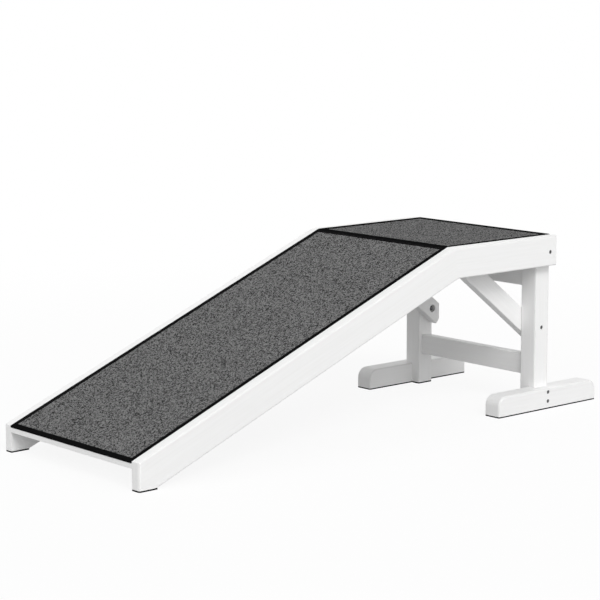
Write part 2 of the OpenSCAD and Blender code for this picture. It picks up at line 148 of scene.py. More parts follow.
# %% World and floor
AMBIENT = 0.225
FLOOR_RADIUS = 6.0
FLOOR_POINTS = 96
FLOOR_BOUNCE = 0.45
FLOOR_LIT = 0.95
SHADOW_SHARE = 0.11
SHADOW_FADE = (0.9, 2.4)


def seen_directly(add):
    """1 for rays from the camera, and for the reflections and refractions that show the background."""
    path = add("ShaderNodeLightPath")
    first = add("ShaderNodeMath", {0: path.outputs["Is Camera Ray"], 1: path.outputs["Is Glossy Ray"]},
                operation="MAXIMUM")
    return add("ShaderNodeMath", {0: first, 1: path.outputs["Is Transmission Ray"]}, operation="MAXIMUM")


def floor_recipe(add):
    """Pale floor: grey to the light that bounces off it, white with a faint shadow to the camera."""
    place = add("ShaderNodeTexCoord").outputs["Object"]
    distance = add("ShaderNodeVectorMath", {0: place}, operation="LENGTH").outputs["Value"]
    share = add("ShaderNodeMapRange", {"Value": distance, "From Min": SHADOW_FADE[0],
                "From Max": SHADOW_FADE[1], "To Min": SHADOW_SHARE, "To Max": 0.0},
                interpolation_type="SMOOTHSTEP")
    white = add("ShaderNodeEmission", {"Color": grey(1), "Strength": 1.0})
    lit = add("ShaderNodeBsdfDiffuse", {"Color": grey(FLOOR_LIT)})
    seen = add("ShaderNodeMixShader", {0: share, 1: white, 2: lit})
    bounced = add("ShaderNodeBsdfDiffuse", {"Color": grey(FLOOR_BOUNCE)})
    return add("ShaderNodeMixShader", {0: seen_directly(add), 1: bounced, 2: seen})


world = bpy.data.worlds.new("Studio")
scene.world = world
add = emptied(world)
around = add("ShaderNodeBackground", {"Color": grey(1), "Strength": AMBIENT})
behind = add("ShaderNodeBackground", {"Color": grey(1), "Strength": 1.0})
both = add("ShaderNodeMixShader", {0: seen_directly(add), 1: around, 2: behind})
add("ShaderNodeOutputWorld", {"Surface": both})

floor_mesh = bpy.data.meshes.new("studio_floor")
turns = np.linspace(0, 2 * math.pi, FLOOR_POINTS, endpoint=False)
rim = [(FLOOR_RADIUS * math.cos(a), FLOOR_RADIUS * math.sin(a), 0) for a in turns]
floor_mesh.from_pydata(rim, [], [range(FLOOR_POINTS)])
floor_mesh.materials.append(finish_of("studio_floor", floor_recipe))
floor = bpy.data.objects.new("studio_floor", floor_mesh)
scene.collection.objects.link(floor)
print("floor radius:", FLOOR_RADIUS, "m")

# %% [markdown]
# Soft light comes from large lamps. A Sun lamp with a wide angle is soft too, and it lights the whole
# metre of ramp evenly, which an area lamp close by would not do. Each one is aimed by the direction
# that its light comes from, as an azimuth and elevation in the camera's own convention. Most of the
# light comes from the camera's right, which leaves the faces across the ramp a calm grey, and one lamp
# behind brightens the tops. The key lamp is the narrowest, so the rail's and the deck's shadows on the
# stand have an edge. The strengths were fitted to the greys of the painted faces.

# %% Lamps
LAMPS = {
    # name: azimuth, elevation and width in degrees, strength
    "side_wall": (0, 5, 120, 1.106),
    "side_low": (-20, 15, 60, 0.680),
    "side_key": (-20, 42, 22, 1.100),
    "front": (-75, 25, 60, 0.686),
    "front_wall": (-90, 5, 120, 0.428),
    "behind": (150, 40, 120, 0.633),
}


def soft_lamp(name, azimuth, elevation, width, strength):
    """A soft Sun lamp whose light comes from the given azimuth and elevation."""
    lamp = bpy.data.objects.new(name, bpy.data.lights.new(name, "SUN"))
    scene.collection.objects.link(lamp)
    lamp.data.energy = strength
    lamp.data.angle = math.radians(width)
    lamp.matrix_world = camera_axes(math.radians(azimuth), math.radians(elevation), 0).to_4x4()


for name, values in LAMPS.items():
    soft_lamp(name, *values)
print("lamps:", ", ".join(LAMPS))

# %% [markdown]
# Everything on the slope is easier to make in the slope's own frame: how far up the slope, how far
# across, and how deep below the surface. The tape's two top corners give the slope's line exactly,
# and where that line reaches the platform's height is the knee, the bend of the two side rails.

# %% The slope and the knee, read from the carpet's tape
def extreme(node, key):
    """The corner of a CAD node that is furthest by the given key."""
    return max((v.co.copy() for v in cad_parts[node].data.vertices), key=key)


low_end = extreme("ramp_carpet_binding", lambda p: (-round(p.x, 6), p.z))
high_end = extreme("ramp_carpet_binding", lambda p: p.z)
SLOPE = math.atan2(high_end.z - low_end.z, high_end.x - low_end.x)
HALF_BEND = SLOPE / 2
PLATFORM_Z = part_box("platform_carpet")[1].z
KNEE_X = low_end.x + (PLATFORM_Z - low_end.z) / math.tan(SLOPE)
KNEE_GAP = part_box("platform_carpet_binding")[0].x - KNEE_X
SLOPE_LENGTH = (KNEE_X - low_end.x) / math.cos(SLOPE)
PLATFORM_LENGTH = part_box("platform_carpet_binding")[1].x - KNEE_X
CARPET_DEPTH = PLATFORM_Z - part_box("platform_carpet")[0].z
HALF_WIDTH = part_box("platform_carpet_binding")[1].y
TAPE_WIDTH = HALF_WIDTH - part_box("platform_carpet")[1].y


def on_slope(up, across, depth):
    """A point in the slope's frame, as a point of the model."""
    sine, cosine = math.sin(SLOPE), math.cos(SLOPE)
    x = low_end.x + up * cosine + depth * sine
    return Vector((x, across, low_end.z + up * sine - depth * cosine))


def on_platform(along, across, depth):
    """A point in the platform's frame, which starts at the knee, as a point of the model."""
    return Vector((KNEE_X + along, across, PLATFORM_Z - depth))


print(f"slope {math.degrees(SLOPE):.2f} degrees, {SLOPE_LENGTH:.4f} m long, knee at x = {KNEE_X:.4f}")
print(f"platform {PLATFORM_LENGTH:.4f} m, tape {TAPE_WIDTH / MM:.1f} mm, knee gap {KNEE_GAP / MM:.2f} mm")

# %% [markdown]
# Three ingredients come back in most finishes: noise of a given size in real metres, a value remapped
# to another range, and a relief of a given height. Patterns read Object coordinates, apart from the
# tape's weave. The pieces keep their object at the origin, so those are the model's own coordinates.

# %% Ingredients of the finishes
ALL = (0.0, 1.0)
MIDDLE = (0.35, 0.65)
WIDE_MIDDLE = (0.3, 0.7)


def place_on(add):
    """The model's own coordinates at this point of the surface."""
    return add("ShaderNodeTexCoord").outputs["Object"]


def noise(add, vector, size, detail=3.0, roughness=0.55, distortion=0.0):
    """Noise whose features are about the given size."""
    return add("ShaderNodeTexNoise", {"Vector": vector, "Scale": 1 / size, "Detail": detail,
               "Roughness": roughness, "Distortion": distortion}).outputs[0]


def span(add, value, given, wanted=ALL):
    """A value remapped from the given range to the wanted one, and held inside it."""
    return add("ShaderNodeMapRange", {"Value": value, "From Min": given[0], "From Max": given[1],
               "To Min": wanted[0], "To Max": wanted[1]}).outputs[0]


def calculated(add, operation, *values):
    """One Math node."""
    return add("ShaderNodeMath", dict(enumerate(values)), operation=operation).outputs[0]


def blended(add, share, first, second):
    """Two colours mixed by a share."""
    return add("ShaderNodeMix", {0: share, 6: first, 7: second}, data_type="RGBA").outputs[2]


def relief(add, height, distance, below=None):
    """A bump of the given height in metres, on top of an earlier one."""
    inputs = {"Height": height, "Distance": distance, "Strength": 1.0}
    if below is not None:
        inputs["Normal"] = below
    return add("ShaderNodeBump", inputs).outputs[0]


# %% [markdown]
# The timbers are pine under white satin paint. Pine keeps a faint relief of its growth lines even
# through two coats, and it runs along each board. A Mapping node of type Texture first turns the
# pattern to the board's length and then stretches it, so one recipe serves every board. The colour
# hardly changes, and the relief does the work: faces that the light grazes show lines, and faces
# that look into the light stay nearly even. The rounded edges that the side and top lamps both reach
# get painted shade: a greyer paint that holds their highlight down. Its share is worked out from the
# way the surface faces. It is highest halfway between a side and its neighbour, where the product of
# the two squares is a quarter, so a gain of four makes it whole.

# %% White paint over pine
PAINT = (0.872, 0.872, 0.870, 1)
PAINT_ON_LINES = (0.845, 0.843, 0.838, 1)
# Painted shade: a greyer paint for the lit eased edges, which holds their highlight down.
PAINT_SHADE_ON_EDGES = (0.755, 0.753, 0.747, 1)
PAINT_ROUGHNESS = (0.42, 0.54)
LINE_RANGE = (0.40, 0.72)
UPPER_EDGES = (-0.3, 0.0)
EDGE_GAIN = 4.0
GRAIN_STRETCH = 34.0
GROWTH_LINE = 4.5 * MM
GROWTH_HEIGHT = 0.10 * MM
FIBRE = 0.8 * MM
FIBRE_HEIGHT = 0.02 * MM
BRUSH_RIPPLE = 2.6 * MM
BRUSH_HEIGHT = 0.012 * MM
ALONG = (0, 0, 0)
ACROSS = (0, 0, math.pi / 2)
UPRIGHT = (0, -math.pi / 2, 0)
UPHILL = (0, -SLOPE, 0)
LEVEL_WITHIN = 0.01 * MM


def along_grain(add, turn):
    """Coordinates turned to a board's length and stretched along it."""
    return add("ShaderNodeMapping", {"Vector": place_on(add), "Rotation": turn,
               "Scale": (GRAIN_STRETCH, 1, 1)}, vector_type="TEXTURE").outputs[0]


def lit_edge_shade(add):
    """1 in the middle of an eased edge beside a face that looks sideways, and 0 on the flat faces
    and on the edges that look down: the share of painted shade on the edges that the lamps light."""
    facing = add("ShaderNodeSeparateXYZ", {0: add("ShaderNodeNewGeometry").outputs["Normal"]}).outputs
    sideways = calculated(add, "MULTIPLY", facing[1], facing[1])
    rest = calculated(add, "SUBTRACT", 1.0, sideways)
    upper = span(add, facing[2], UPPER_EDGES, (0.0, EDGE_GAIN))
    return calculated(add, "MULTIPLY", calculated(add, "MULTIPLY", sideways, rest), upper)


def paint_over(add, lines):
    """Satin paint over pine, whose growth lines follow the given coordinates."""
    growth = noise(add, lines, GROWTH_LINE, detail=4.0, roughness=0.6, distortion=0.4)
    fibres = noise(add, lines, FIBRE, detail=2.0)
    ripple = noise(add, place_on(add), BRUSH_RIPPLE, detail=1.0)
    colour = blended(add, span(add, growth, LINE_RANGE), PAINT, PAINT_ON_LINES)
    # Painted shade on the lit eased edges, in place of part of their highlight.
    colour = blended(add, lit_edge_shade(add), colour, PAINT_SHADE_ON_EDGES)
    surface = relief(add, growth, GROWTH_HEIGHT)
    surface = relief(add, fibres, FIBRE_HEIGHT, surface)
    surface = relief(add, ripple, BRUSH_HEIGHT, surface)
    gloss = span(add, ripple, WIDE_MIDDLE, PAINT_ROUGHNESS)
    return add("ShaderNodeBsdfPrincipled", {"Base Color": colour, "Roughness": gloss, "Normal": surface})


def painted(name, turn):
    """White paint on boards that all run the same way."""
    return finish_of(name, lambda add: paint_over(add, along_grain(add, turn)))


def bent_rail_recipe(add):
    """White paint on a rail whose two boards meet at the knee: each has its own grain."""
    mitre = (math.cos(HALF_BEND), 0, math.sin(HALF_BEND))
    knee = Vector((KNEE_X, 0, PLATFORM_Z)).dot(Vector(mitre))
    reach = add("ShaderNodeVectorMath", {0: place_on(add), 1: mitre}, operation="DOT_PRODUCT")
    beyond = calculated(add, "GREATER_THAN", reach.outputs["Value"], knee)
    lines = add("ShaderNodeMix", {0: beyond, 4: along_grain(add, UPHILL), 5: along_grain(add, ALONG)},
                data_type="VECTOR").outputs[1]
    return paint_over(add, lines)


def lie_of(node):
    """The turn that lays a pattern along a board, from the longest straight edge of its node."""
    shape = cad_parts[node].data
    ends = [[shape.vertices[i].co for i in edge.vertices] for edge in shape.edges]
    level = [b - a for a, b in ends if abs(b.y - a.y) < LEVEL_WITHIN]
    longest = max(level, key=lambda run: run.length)
    return (0, -math.atan2(longest.z, longest.x), 0)


paint_rails = finish_of("paint_rails", bent_rail_recipe)
paint_upright = painted("paint_upright", UPRIGHT)
paint_across = painted("paint_across", ACROSS)
paint_along = painted("paint_along", ALONG)
paint_uphill = painted("paint_uphill", UPHILL)
brace_lie = lie_of("left_brace")
paint_braces = painted("paint_braces", brace_lie)
print("brace grain:", round(math.degrees(brace_lie[1]), 1), "degrees")

# %% [markdown]
# A CAD node is a bag of loose triangles, and its shape is never changed. A copy is merged into one
# closed mesh, its flat faces are joined, and a Bevel modifier takes the sharpness off the edges that
# the model leaves square, such as the mitre, the board ends and the rims of the drilled holes.
# Weighted Normal then keeps the flat faces looking flat right up to their soft edges. On the feet the
# upper screw hole ends a hair below the rounded edge, so only a hair is taken off there.

# %% Boards: merged copies with softened edges
MERGE = 0.002 * MM
FLAT_ANGLE = math.radians(0.4)
SOFT_EDGE = 0.45 * MM
FOOT_SOFT_EDGE = 0.04 * MM
SOFT_EDGE_ANGLE = math.radians(40)


def shown(name, mesh, nodes=()):
    """A finished mesh as a piece: on its body, in place of the CAD nodes it stands for."""
    piece = bpy.data.objects.new(name, mesh)
    scene.collection.objects.link(piece)
    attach(piece, BODY)
    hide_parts(*nodes)
    return piece


def merged(node):
    """A copy of a CAD node as one closed mesh with its flat faces joined."""
    shape = bmesh.new()
    shape.from_mesh(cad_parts[node].data)
    bmesh.ops.remove_doubles(shape, verts=shape.verts, dist=MERGE)
    bmesh.ops.dissolve_limit(shape, angle_limit=FLAT_ANGLE, verts=shape.verts, edges=shape.edges)
    for face in shape.faces:
        face.smooth = True
    mesh = bpy.data.meshes.new(node + "_copy")
    shape.to_mesh(mesh)
    shape.free()
    mesh.materials.clear()
    return mesh


def soften(piece, width, segments=2):
    """Rounds a piece's sharp edges a little, and keeps its flat faces flat."""
    bevel = piece.modifiers.new("soft_edges", "BEVEL")
    bevel.limit_method = "ANGLE"
    bevel.angle_limit = SOFT_EDGE_ANGLE
    bevel.width = width
    bevel.segments = segments
    bevel.use_clamp_overlap = False
    bevel.loop_slide = False
    piece.modifiers.new("flat_faces", "WEIGHTED_NORMAL")


BOARDS = {
    paint_rails: ("left_rail", "right_rail"),
    paint_upright: ("left_leg", "right_leg"),
    paint_along: ("left_foot_beam", "right_foot_beam", "platform_deck"),
    paint_across: ("knee_crossbar", "stretcher", "apron"),
    paint_uphill: ("ramp_deck",),
    paint_braces: ("left_brace", "right_brace"),
}
boards = {}
for paint, nodes in BOARDS.items():
    for node in nodes:
        mesh = merged(node)
        mesh.materials.append(paint)
        boards[node] = shown("painted_" + node, mesh, [node])
        soften(boards[node], FOOT_SOFT_EDGE if "foot" in node else SOFT_EDGE)
print("painted boards:", len(boards), "faces:", sum(len(b.data.polygons) for b in boards.values()))

# %% [markdown]
# Geometry Nodes make what repeats here. Each tree is built once with named inputs, so that a reader
# can open it and change a size. Every tree ends the same way: instances are made real, and the
# material is set. The result is then copied out as a plain mesh and the modifier is dropped, which
# leaves a piece that exports like any other.

# %% Helpers for Geometry Nodes
def shape_tree(name, inputs):
    """A Geometry Nodes tree with named inputs: the tree, its adder and the inputs' sockets."""
    tree = bpy.data.node_groups.new(name, "GeometryNodeTree")
    tree.interface.new_socket("Geometry", in_out="OUTPUT", socket_type="NodeSocketGeometry")
    for label, kind in {"Geometry": "Geometry", **inputs, "Finish": "Material"}.items():
        tree.interface.new_socket(label, in_out="INPUT", socket_type="NodeSocket" + kind)
    add = adder(tree)
    return tree, add, add("NodeGroupInput").outputs


def xyz(add, **parts):
    """A vector from its parts X, Y and Z. Those that are left out are zero."""
    return add("ShaderNodeCombineXYZ", parts)


def joined(tree, add, *parts):
    """Several shapes as one."""
    join = add("GeometryNodeJoinGeometry")
    for part in parts:
        tree.links.new(part.outputs[0], join.inputs[0])
    return join


def end_tree(add, given, geometry):
    """Makes the instances real, sets the material and ends the tree."""
    real = add("GeometryNodeRealizeInstances", {0: geometry})
    finished = add("GeometryNodeSetMaterial", {"Geometry": real, "Material": given["Finish"]})
    add("NodeGroupOutput", {0: finished})


def grown(name, tree, values, base=None):
    """Runs a tree on a base mesh and returns the result as a plain mesh."""
    seed = bpy.data.objects.new(name, base or bpy.data.meshes.new(name + "_seed"))
    scene.collection.objects.link(seed)
    modifier = seed.modifiers.new("grown", "NODES")
    modifier.node_group = tree
    for item in tree.interface.items_tree:
        if item.in_out == "INPUT" and item.name in values:
            modifier[item.identifier] = values[item.name]
    bpy.context.view_layer.update()
    mesh = bpy.data.meshes.new_from_object(seed.evaluated_get(bpy.context.evaluated_depsgraph_get()))
    bpy.data.objects.remove(seed)
    mesh.name = name
    return mesh


# %% [markdown]
# Four battens lie under the slope, and carry its thin deck between the rails. They are one board
# repeated at an even step. A rectangle with filleted corners is drawn along a line as wide as the
# deck, which gives a board with eased long edges, and that board is instanced on a row of points.

# %% Battens, in a row up the slope
def row_of_boards():
    """A tree that repeats an eased board along a row of points."""
    tree, add, given = shape_tree("row_of_boards", {"First": "Vector", "Step": "Vector", "Count": "Int",
                                  "Width": "Float", "Thickness": "Float", "Length": "Float",
                                  "Eased by": "Float", "Tilt": "Float"})
    row = add("GeometryNodeMeshLine", {"Count": given["Count"], "Start Location": given["First"],
              "Offset": given["Step"]}, mode="OFFSET")
    half = calculated(add, "MULTIPLY", given["Length"], 0.5)
    start = xyz(add, Y=calculated(add, "MULTIPLY", half, -1.0))
    line = add("GeometryNodeCurvePrimitiveLine", {"Start": start, "End": xyz(add, Y=half)})
    section = add("GeometryNodeCurvePrimitiveQuadrilateral", {"Width": given["Width"],
                  "Height": given["Thickness"]})
    eased = add("GeometryNodeFilletCurve", {"Curve": section, "Radius": given["Eased by"],
                "Count": 4}, mode="POLY")
    board = add("GeometryNodeCurveToMesh", {"Curve": line, "Profile Curve": eased, "Fill Caps": True})
    turn = add("FunctionNodeEulerToRotation", {0: xyz(add, Y=given["Tilt"])})
    boards_there = add("GeometryNodeInstanceOnPoints", {"Points": row, "Instance": board, "Rotation": turn})
    end_tree(add, given, boards_there)
    return tree


def slope_block(node):
    """The middle and the size of a block that lies along the slope, measured in the slope's directions."""
    turned = Matrix.Rotation(-SLOPE, 3, "Y")
    corners = np.array([turned.transposed() @ v.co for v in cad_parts[node].data.vertices])
    low, high = corners.min(0), corners.max(0)
    return turned @ Vector((low + high) / 2), high - low


BATTEN_EASE = 2.0 * MM
batten_nodes = sorted(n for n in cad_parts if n.startswith("ramp_batten_") and n[-1].isdigit())
first_batten, (batten_width, batten_length, batten_thickness) = slope_block(batten_nodes[0])
batten_step = (slope_block(batten_nodes[-1])[0] - first_batten) / (len(batten_nodes) - 1)
mesh = grown("battens", row_of_boards(), {
    "First": first_batten, "Step": batten_step, "Count": len(batten_nodes), "Width": batten_width,
    "Thickness": batten_thickness, "Length": batten_length, "Eased by": BATTEN_EASE, "Tilt": -SLOPE,
    "Finish": paint_across})
shown("painted_battens", mesh, batten_nodes)
print(f"battens: {batten_width / MM:.1f} x {batten_thickness / MM:.1f} mm, faces {len(mesh.polygons)}")

# %% [markdown]
# The carpet is a short, dense needle-punched felt in mixed greys. Its look is a speckle about as fine
# as the tufts, under two millimetres, over a very faint cloud of darker patches. Voronoi cells give
# each tuft a grey of its own, and a steeper range makes most of them plainly dark or plainly light, as
# two yarns do. Fine noise breaks the cells up into fibres, and a little sheen stands for the fibre
# ends that catch light at a low angle.

# %% Heather grey carpet
CARPET_DARK = 0.005
CARPET_LIGHT = 0.250
TUFT = 1.7 * MM
YARN_RANGE = (0.32, 0.68)
CARPET_FIBRE = 0.7 * MM
CARPET_PATCH = 45 * MM
FIBRE_SHARE = 0.16
PATCH_SHARE = 0.04
PATCH_RANGE = (-0.5, 0.5)
TUFT_HEIGHT = 0.35 * MM
FUZZ_HEIGHT = 0.18 * MM


def carpet_recipe(add):
    """Each tuft has its own grey, broken up by fibres and clouded by faint patches."""
    place = place_on(add)
    cells = add("ShaderNodeTexVoronoi", {"Vector": place, "Scale": 1 / TUFT})
    own_grey = add("ShaderNodeSeparateColor", {0: cells.outputs["Color"]}).outputs[0]
    tuft = span(add, own_grey, YARN_RANGE)
    fibre = span(add, noise(add, place, CARPET_FIBRE, detail=2.0), WIDE_MIDDLE)
    patch = span(add, noise(add, place, CARPET_PATCH, detail=2.0), MIDDLE, PATCH_RANGE)
    mixed = add("ShaderNodeMix", {0: FIBRE_SHARE, 2: tuft, 3: fibre}, data_type="FLOAT").outputs[0]
    shade = calculated(add, "MULTIPLY_ADD", patch, PATCH_SHARE, mixed)
    colour = blended(add, shade, grey(CARPET_DARK), grey(CARPET_LIGHT))
    surface = relief(add, calculated(add, "MULTIPLY", cells.outputs["Distance"], -1.0), TUFT_HEIGHT)
    surface = relief(add, fibre, FUZZ_HEIGHT, surface)
    return add("ShaderNodeBsdfPrincipled", {"Base Color": colour, "Roughness": 0.95, "Normal": surface,
               "Specular IOR Level": 0.0, "Sheen Weight": 0.04, "Sheen Roughness": 0.6})


carpet_finish = finish_of("heather_carpet", carpet_recipe)

# %% [markdown]
# The pile itself is real relief. A dense grid is laid out flat, and each of its points is pushed up
# or down by a random amount with a fixed seed, so that the surface has a nap under grazing light. It
# lies just under the carpet's full height, which only the tape round it reaches.
# The grid's rim is then drawn down to the deck and closed underneath, which makes the felt a solid
# sheet, and last it is tilted and moved into place.

# %% Carpet pile, from a grid
def felt_sheet():
    """A tree that lays a felt sheet: a rough grid with walls and an underside, put in its place."""
    tree, add, given = shape_tree("felt_sheet", {"Length": "Float", "Width": "Float", "Depth": "Float",
                                  "Pitch": "Float", "Nap": "Float", "Seed": "Int", "Centre": "Vector",
                                  "Tilt": "Float"})
    sizes = [calculated(add, "DIVIDE", given[side], given["Pitch"]) for side in ("Length", "Width")]
    grid = add("GeometryNodeMeshGrid", {"Size X": given["Length"], "Size Y": given["Width"],
               "Vertices X": sizes[0], "Vertices Y": sizes[1]})
    low = calculated(add, "MULTIPLY", given["Nap"], -1.0)
    nap = add("FunctionNodeRandomValue", {2: low, 3: given["Nap"], "Seed": given["Seed"]},
              data_type="FLOAT").outputs[1]
    rough = add("GeometryNodeSetPosition", {"Geometry": grid, "Offset": xyz(add, Z=nap)})
    faces_there = add("GeometryNodeInputMeshEdgeNeighbors").outputs[0]
    rim = add("FunctionNodeCompare", {2: faces_there, 3: 1}, data_type="INT", operation="EQUAL")
    deck_level = calculated(add, "MULTIPLY", given["Depth"], -1.0)
    walls = add("GeometryNodeExtrudeMesh", {"Mesh": rough, "Selection": rim,
                "Offset": xyz(add, Z=deck_level), "Offset Scale": 1.0}, mode="EDGES")
    parts = add("ShaderNodeSeparateXYZ", {0: add("GeometryNodeInputPosition")}).outputs
    level = xyz(add, X=parts[0], Y=parts[1], Z=deck_level)
    foot_edges = walls.outputs["Top"]
    flat = add("GeometryNodeSetPosition", {"Geometry": walls, "Selection": foot_edges, "Position": level})
    loop = add("GeometryNodeMeshToCurve", {"Mesh": flat, "Selection": foot_edges})
    filled = add("GeometryNodeFillCurve", {"Curve": loop}, mode="NGONS")
    underside = add("GeometryNodeFlipFaces", {"Mesh": filled})
    sunk = add("GeometryNodeSetPosition", {"Geometry": underside, "Position": level})
    sheet = joined(tree, add, sunk, flat)
    closed = add("GeometryNodeMergeByDistance", {"Geometry": sheet, "Distance": MERGE})
    smooth = add("GeometryNodeSetShadeSmooth", {"Geometry": closed, "Shade Smooth": True})
    laid = add("GeometryNodeTransform", {"Geometry": smooth, "Translation": given["Centre"],
               "Rotation": xyz(add, Y=given["Tilt"])})
    end_tree(add, given, laid)
    return tree


GRID_PITCH = 1.76 * MM
NAP = 0.26 * MM
UNDER_TAPE = 1.2 * MM
PILE_DROP = 0.9 * MM
felt = felt_sheet()
core_width = 2 * (HALF_WIDTH - TAPE_WIDTH + UNDER_TAPE)


def laid_carpet(name, node, point, length, tilt, seed):
    """A carpet's felt, which reaches a little under its tape all round."""
    centre = point(length / 2, 0, PILE_DROP)
    core_length = length - KNEE_GAP - 2 * (TAPE_WIDTH - UNDER_TAPE)
    values = {"Length": core_length, "Width": core_width, "Depth": CARPET_DEPTH - PILE_DROP,
              "Pitch": GRID_PITCH, "Nap": NAP, "Seed": seed, "Centre": centre, "Tilt": tilt,
              "Finish": carpet_finish}
    mesh = grown(name, felt, values)
    print(f"{name}: {core_length:.4f} x {core_width:.4f} m, faces {len(mesh.polygons)}")
    return shown(name, mesh, [node])


ramp_felt = laid_carpet("ramp_felt", "ramp_carpet", on_slope, SLOPE_LENGTH, tilt=-SLOPE, seed=11)
platform_felt = laid_carpet("platform_felt", "platform_carpet", on_platform, PLATFORM_LENGTH, tilt=0.0,
                            seed=12)

# %% [markdown]
# A black woven tape is folded round the carpet's edge and sewn down. It adds its own thickness, so it
# stands a millimetre proud of the rails, and the felt lies a little lower inside it. Its section is a
# short list of points: how far in from the edge, and how deep below the surface. The section runs all
# round the carpet and is mitred at the corners. The outer side follows the carpet's cut end, which
# leans at the knee and at the low end, where it reaches past the deck by the tape's own thickness.
# Small dips along the seam show where the stitches pull the tape down.

# %% A mesh lofted through rings of points
SHARP_ANGLE = math.radians(35)


def lofted(name, rings, tips=None, wrap=None):
    """A closed mesh through rings of points. It ends in two tips, or the last ring joins the first.
    wrap gives the length along and round the rings for a UV map named after the mesh."""
    shape = bmesh.new()
    grid = [[shape.verts.new(p) for p in ring] for ring in rings]
    around = len(rings[0])
    uv = shape.loops.layers.uv.new(name) if wrap else None
    pairs = len(rings) if tips is None else len(rings) - 1
    for i in range(pairs):
        one, two = grid[i], grid[(i + 1) % len(rings)]
        for j in range(around):
            k = (j + 1) % around
            face = shape.faces.new((one[j], one[k], two[k], two[j]))
            if wrap:
                along, across = wrap
                corners = ((j, i), (j + 1, i), (j + 1, i + 1), (j, i + 1))
                for loop, (a, b) in zip(face.loops, corners):
                    loop[uv].uv = (along[a], across[b])
    if tips is not None:
        for tip, ring in zip(tips, (grid[0], grid[-1])):
            centre = shape.verts.new(tip)
            for j in range(around):
                shape.faces.new((ring[j], ring[(j + 1) % around], centre))
    bmesh.ops.recalc_face_normals(shape, faces=shape.faces)
    for face in shape.faces:
        face.smooth = True
    mesh = bpy.data.meshes.new(name)
    shape.to_mesh(mesh)
    shape.free()
    mesh.set_sharp_from_angle(angle=SHARP_ANGLE)
    return mesh


# %% The tape's own finish
TAPE_BLACK = (0.0040, 0.0040, 0.0042, 1)
TAPE_GREY = (0.0090, 0.0090, 0.0094, 1)
WARP_PITCH = 0.55 * MM
WEFT_PITCH = 0.80 * MM
WEAVE_HEIGHT = 0.06 * MM
WEAVE_RANGE = (-0.5, 1.2)
FUZZ_SHARE = 0.6


def tape_recipe(name):
    """Black woven tape: ribs across it from its UV map, which is in metres."""
    def recipe(add):
        parts = add("ShaderNodeSeparateXYZ", {0: add("ShaderNodeUVMap", uv_map=name)}).outputs
        waves = [calculated(add, "SINE", calculated(add, "MULTIPLY", part, 2 * math.pi / pitch))
                 for part, pitch in zip(parts, (WARP_PITCH, WEFT_PITCH))]
        weave = calculated(add, "MULTIPLY", *waves)
        fuzz = noise(add, place_on(add), WEFT_PITCH, detail=2.0)
        height = calculated(add, "MULTIPLY_ADD", fuzz, FUZZ_SHARE, weave)
        colour = blended(add, span(add, height, WEAVE_RANGE), TAPE_BLACK, TAPE_GREY)
        return add("ShaderNodeBsdfPrincipled", {"Base Color": colour, "Roughness": 0.85,
                   "Specular IOR Level": 0.0, "Normal": relief(add, height, WEAVE_HEIGHT)})

    return recipe


# %% Tape folded round the two carpets
TAPE_SECTION_MM = [(9.0, 3.0), (9.0, 0.9), (8.95, 0.0), (8.7, -0.6), (7.6, -0.95), (4.6, -1.25),
                   (2.0, -1.2), (0.7, -0.8), (0.05, 0.2), (0.0, 2.4), (0.3, 3.0)]
STITCH_PITCH = 3.9 * MM
SEAM_IN = 7.6 * MM
SEAM_DIP = 0.10 * MM
SEAM_REACH = 1.6 * MM
DIPS_ABOVE = 2.0 * MM
TAPE_STATION = STITCH_PITCH / 2
TAPE_OVERHANG = 1.0 * MM


def tape_loop(point, ends, inward, depth):
    """The points of one line of the tape, all round the carpet, and the length along them."""
    low = ends[0][0] + ends[0][1] * depth + inward
    high = ends[1][0] + ends[1][1] * depth - inward
    side = HALF_WIDTH - inward
    corners = [(low, -side), (high, -side), (high, side), (low, side), (low, -side)]
    counts = [round((ends[1][0] - ends[0][0]) / TAPE_STATION), round(2 * HALF_WIDTH / TAPE_STATION)] * 2
    pull = SEAM_DIP * math.exp(-((inward - SEAM_IN) / SEAM_REACH) ** 2) if depth < DIPS_ABOVE else 0
    points, run = [], [0.0]
    for (a, b), (c, d), count in zip(corners, corners[1:], counts):
        for k in range(count):
            share = k / count
            dip = pull * (k % 2)
            points.append(point(a + (c - a) * share, b + (d - b) * share, depth + dip))
            run.append(run[-1] + math.hypot(c - a, d - b) / count)
    return points, run


def folded_tape(name, node, point, ends):
    """The tape round one carpet."""
    section = [(inward * MM, depth * MM) for inward, depth in TAPE_SECTION_MM]
    loops = [tape_loop(point, ends, *place) for place in section]
    across = np.cumsum([0.0] + [math.dist(a, b) for a, b in zip(section, section[1:] + section[:1])])
    mesh = lofted(name, [points for points, run in loops], wrap=(loops[0][1], across))
    mesh.materials.append(finish_of(name, tape_recipe(name)))
    print(f"{name}: {loops[-1][1][-1]:.3f} m round, faces {len(mesh.polygons)}")
    return shown(name, mesh, [node])


ramp_ends = ((-TAPE_OVERHANG, -math.tan(SLOPE)), (SLOPE_LENGTH - KNEE_GAP, -math.tan(HALF_BEND)))
platform_ends = ((KNEE_GAP, math.tan(HALF_BEND)), (PLATFORM_LENGTH, 0.0))
ramp_tape = folded_tape("ramp_tape", "ramp_carpet_binding", on_slope, ramp_ends)
platform_tape = folded_tape("platform_tape", "platform_carpet_binding", on_platform, platform_ends)

# %% [markdown]
# One line of lockstitch holds the tape. A closed line is resampled to the stitch's pitch, and on each
# point sits a small rounded thread, turned along the seam. Each stitch has only a few dozen faces,
# because there are hundreds of them.

